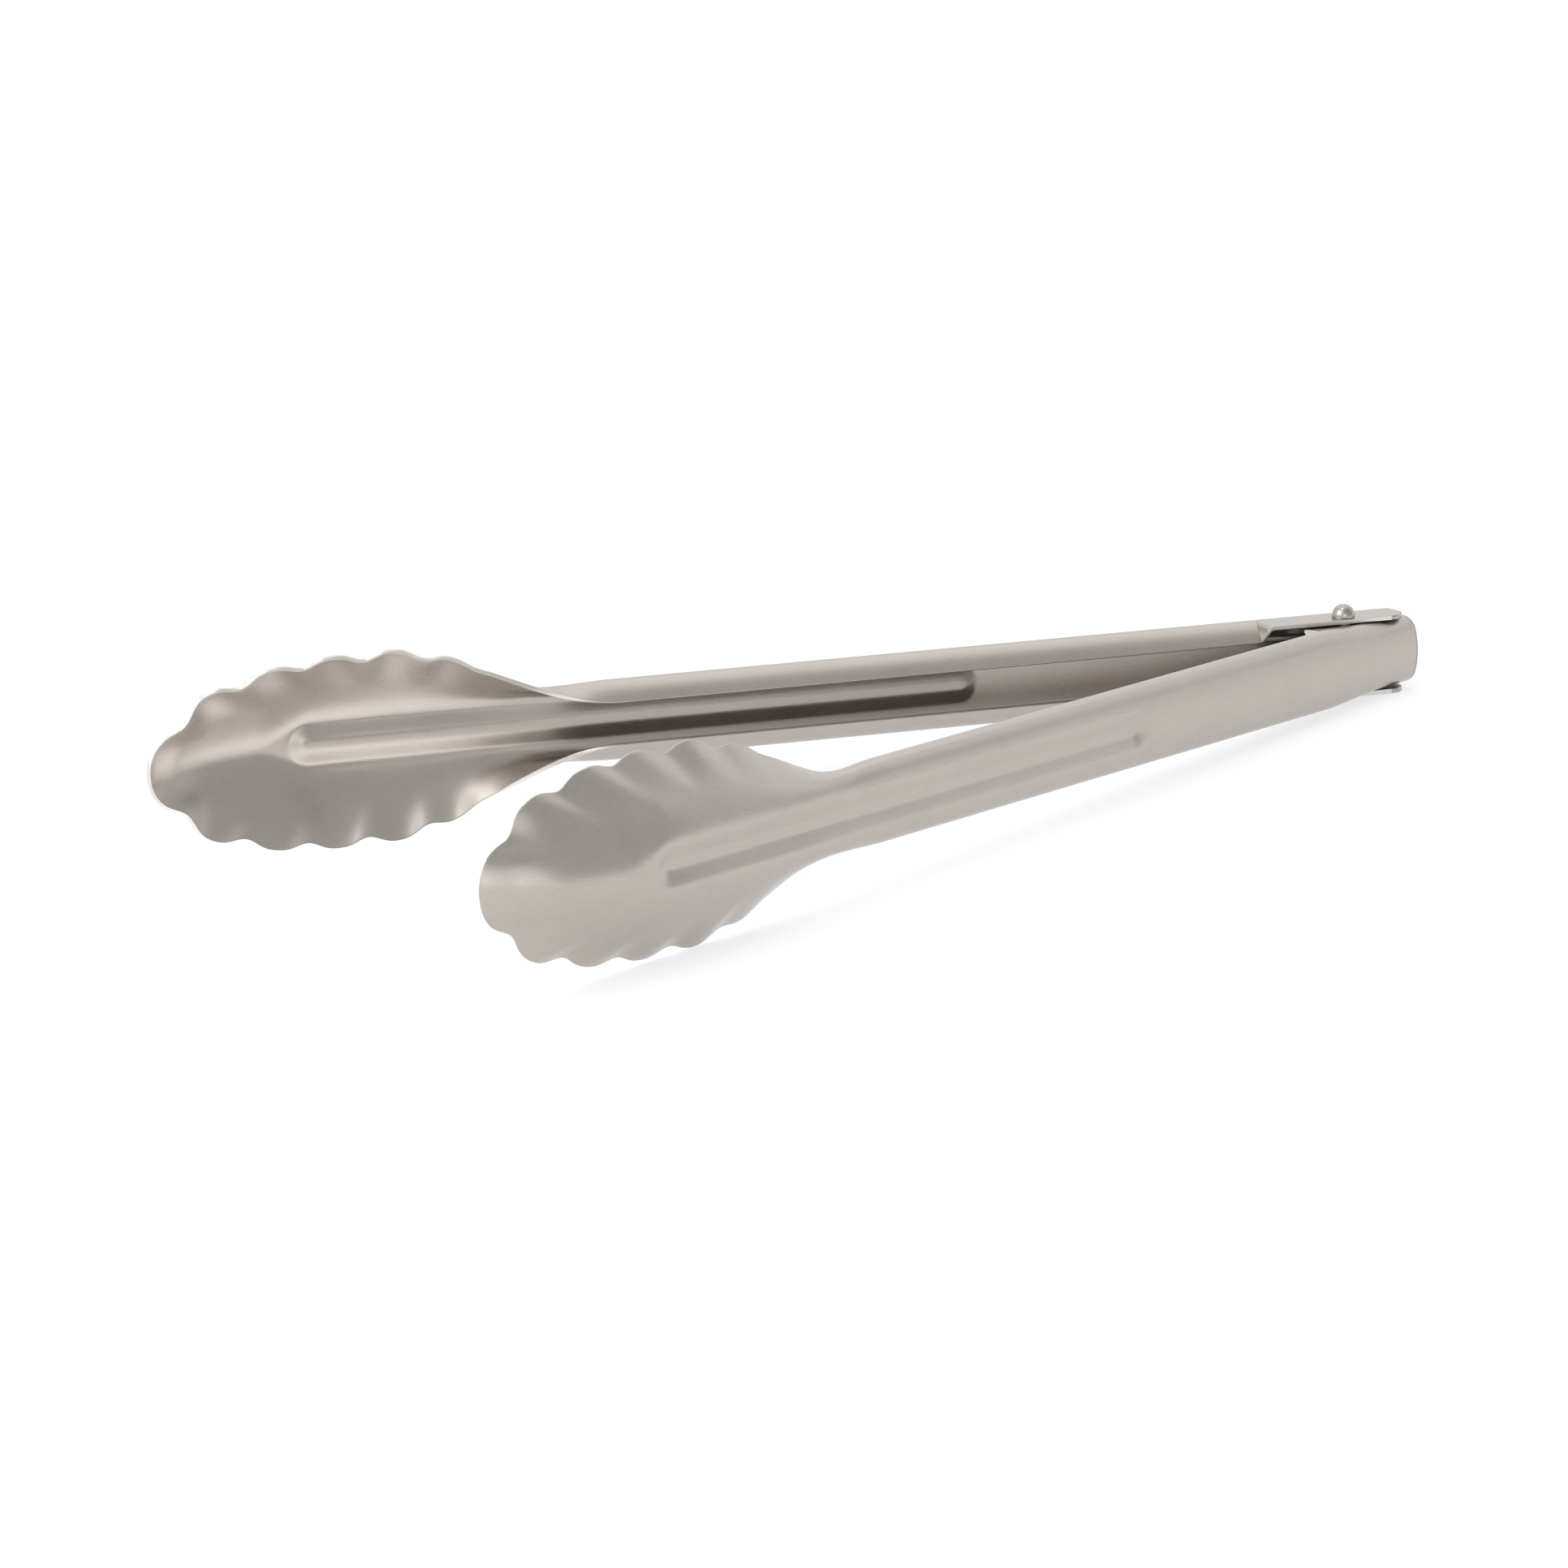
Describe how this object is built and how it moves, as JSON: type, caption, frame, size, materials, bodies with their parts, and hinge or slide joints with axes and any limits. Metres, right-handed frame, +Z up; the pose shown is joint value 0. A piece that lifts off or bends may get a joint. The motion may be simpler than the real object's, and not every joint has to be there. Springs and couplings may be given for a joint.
{
  "type": "spring loaded kitchen tongs",
  "caption": "Stamped stainless steel kitchen tongs: scalloped dished heads, channel arms with a pressed rib, joined by a rivet pivot and held open by a torsion spring.",
  "frame": {"origin": "centre of the bounding box, on the surface that the tongs lie on", "axes": "+Z up with the tongs lying on their side; the heads point to -X and the pivot is at +X; the arms open along Y"},
  "size_m": [0.2998, 0.1524, 0.0452],
  "materials": {
    "arm_steel": "brushed along the arms, satin",
    "rivet_steel": "polished",
    "spring_wire": "drawn wire"
  },
  "bodies": {
    "outer": {"outer_arm": "arm_steel", "pivot_rivet": "rivet_steel", "torsion_spring": "spring_wire"},
    "inner": {"inner_arm": "arm_steel"}
  },
  "joints": [
    {"name": "arm_hinge", "type": "hinge", "parent": "outer", "child": "inner", "pos_m": [0.13185, 0, 0.01011], "axis": [0.0541, 0, 0.9985], "range_deg": [-26.7, 0], "stiffness_Nm_per_rad": 0.9, "springref_deg": 20.05, "deforming": ["torsion_spring"]}
  ]
}
